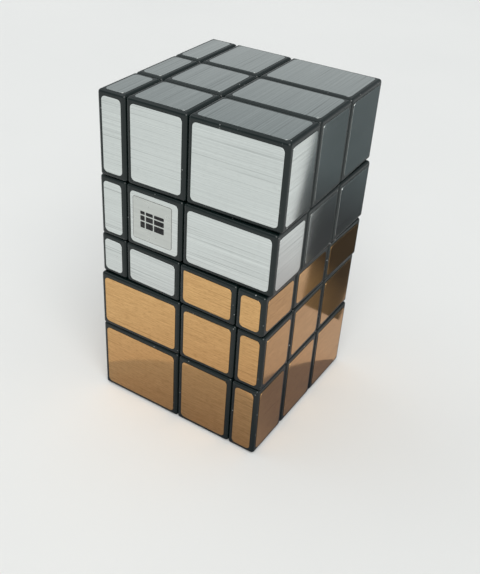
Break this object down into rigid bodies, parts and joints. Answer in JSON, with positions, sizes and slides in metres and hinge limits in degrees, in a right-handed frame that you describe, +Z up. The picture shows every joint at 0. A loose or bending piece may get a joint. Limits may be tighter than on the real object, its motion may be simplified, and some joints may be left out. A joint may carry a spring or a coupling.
{
  "type": "conjoined mirror block puzzle",
  "caption": "Twisty puzzle of two shape-mod cubes joined at a shared middle row, one over the other, with silver foil on the upper blocks and copper foil on the lower ones.",
  "frame": {"origin": "bottom centre of the bounding box, on the surface that the puzzle stands on", "axes": "+X to the right along the front face, the front face towards -Y, +Z up through both cores' layer axes"},
  "size_m": [0.0596, 0.0596, 0.1007],
  "materials": {
    "black_plastic": "moulded ABS, semi-gloss",
    "core_plastic": "moulded nylon",
    "screw_steel": "zinc-plated steel",
    "silver_foil": "brushed metallised film sticker",
    "copper_foil": "brushed copper-gold film sticker"
  },
  "bodies": {
    "shared_middle_row": {"copper_bridge_back": "black_plastic", "copper_bridge_centre": "black_plastic", "copper_bridge_front": "black_plastic", "copper_high_back_right_corner": "black_plastic", "copper_high_front_right_corner": "black_plastic", "copper_high_right_edge": "black_plastic", "silver_bridge_back": "black_plastic", "silver_bridge_centre": "black_plastic", "silver_bridge_front": "black_plastic", "silver_low_back_left_corner": "black_plastic", "silver_low_front_left_corner": "black_plastic", "silver_low_left_edge": "black_plastic"},
    "silver_mid_layer": {"silver_back_screw": "screw_steel", "silver_core": "core_plastic", "silver_front_screw": "screw_steel", "silver_left_screw": "screw_steel", "silver_lower_screw": "screw_steel", "silver_mid_back_centre": "black_plastic", "silver_mid_back_left_edge": "black_plastic", "silver_mid_back_right_edge": "black_plastic", "silver_mid_front_centre": "black_plastic", "silver_mid_front_left_edge": "black_plastic", "silver_mid_front_right_edge": "black_plastic", "silver_mid_left_centre": "black_plastic", "silver_mid_right_centre": "black_plastic", "silver_right_screw": "screw_steel", "silver_upper_screw": "screw_steel"},
    "silver_top_layer": {"silver_top_back_edge": "black_plastic", "silver_top_back_left_corner": "black_plastic", "silver_top_back_right_corner": "black_plastic", "silver_top_centre": "black_plastic", "silver_top_front_edge": "black_plastic", "silver_top_front_left_corner": "black_plastic", "silver_top_front_right_corner": "black_plastic", "silver_top_left_edge": "black_plastic", "silver_top_right_edge": "black_plastic"},
    "copper_mid_layer": {"copper_back_screw": "screw_steel", "copper_core": "core_plastic", "copper_front_screw": "screw_steel", "copper_left_screw": "screw_steel", "copper_lower_screw": "screw_steel", "copper_mid_back_centre": "black_plastic", "copper_mid_back_left_edge": "black_plastic", "copper_mid_back_right_edge": "black_plastic", "copper_mid_front_centre": "black_plastic", "copper_mid_front_left_edge": "black_plastic", "copper_mid_front_right_edge": "black_plastic", "copper_mid_left_centre": "black_plastic", "copper_mid_right_centre": "black_plastic", "copper_right_screw": "screw_steel", "copper_upper_screw": "screw_steel"},
    "copper_base_layer": {"copper_base_back_edge": "black_plastic", "copper_base_back_left_corner": "black_plastic", "copper_base_back_right_corner": "black_plastic", "copper_base_centre": "black_plastic", "copper_base_front_edge": "black_plastic", "copper_base_front_left_corner": "black_plastic", "copper_base_front_right_corner": "black_plastic", "copper_base_left_edge": "black_plastic", "copper_base_right_edge": "black_plastic"}
  },
  "joints": [
    {"name": "silver_mid_turn", "type": "hinge", "parent": "shared_middle_row", "child": "silver_mid_layer", "pos_m": [-0.00968, -0.00286, 0.0665], "axis": [0, 0, 1], "continuous": true},
    {"name": "silver_top_turn", "type": "hinge", "parent": "silver_mid_layer", "child": "silver_top_layer", "pos_m": [-0.00968, -0.00286, 0.0665], "axis": [0, 0, 1], "continuous": true},
    {"name": "copper_mid_turn", "type": "hinge", "parent": "shared_middle_row", "child": "copper_mid_layer", "pos_m": [0.00932, -0.00286, 0.0342], "axis": [0, 0, 1], "continuous": true},
    {"name": "copper_base_turn", "type": "hinge", "parent": "copper_mid_layer", "child": "copper_base_layer", "pos_m": [0.00932, -0.00286, 0.0342], "axis": [0, 0, 1], "continuous": true}
  ]
}
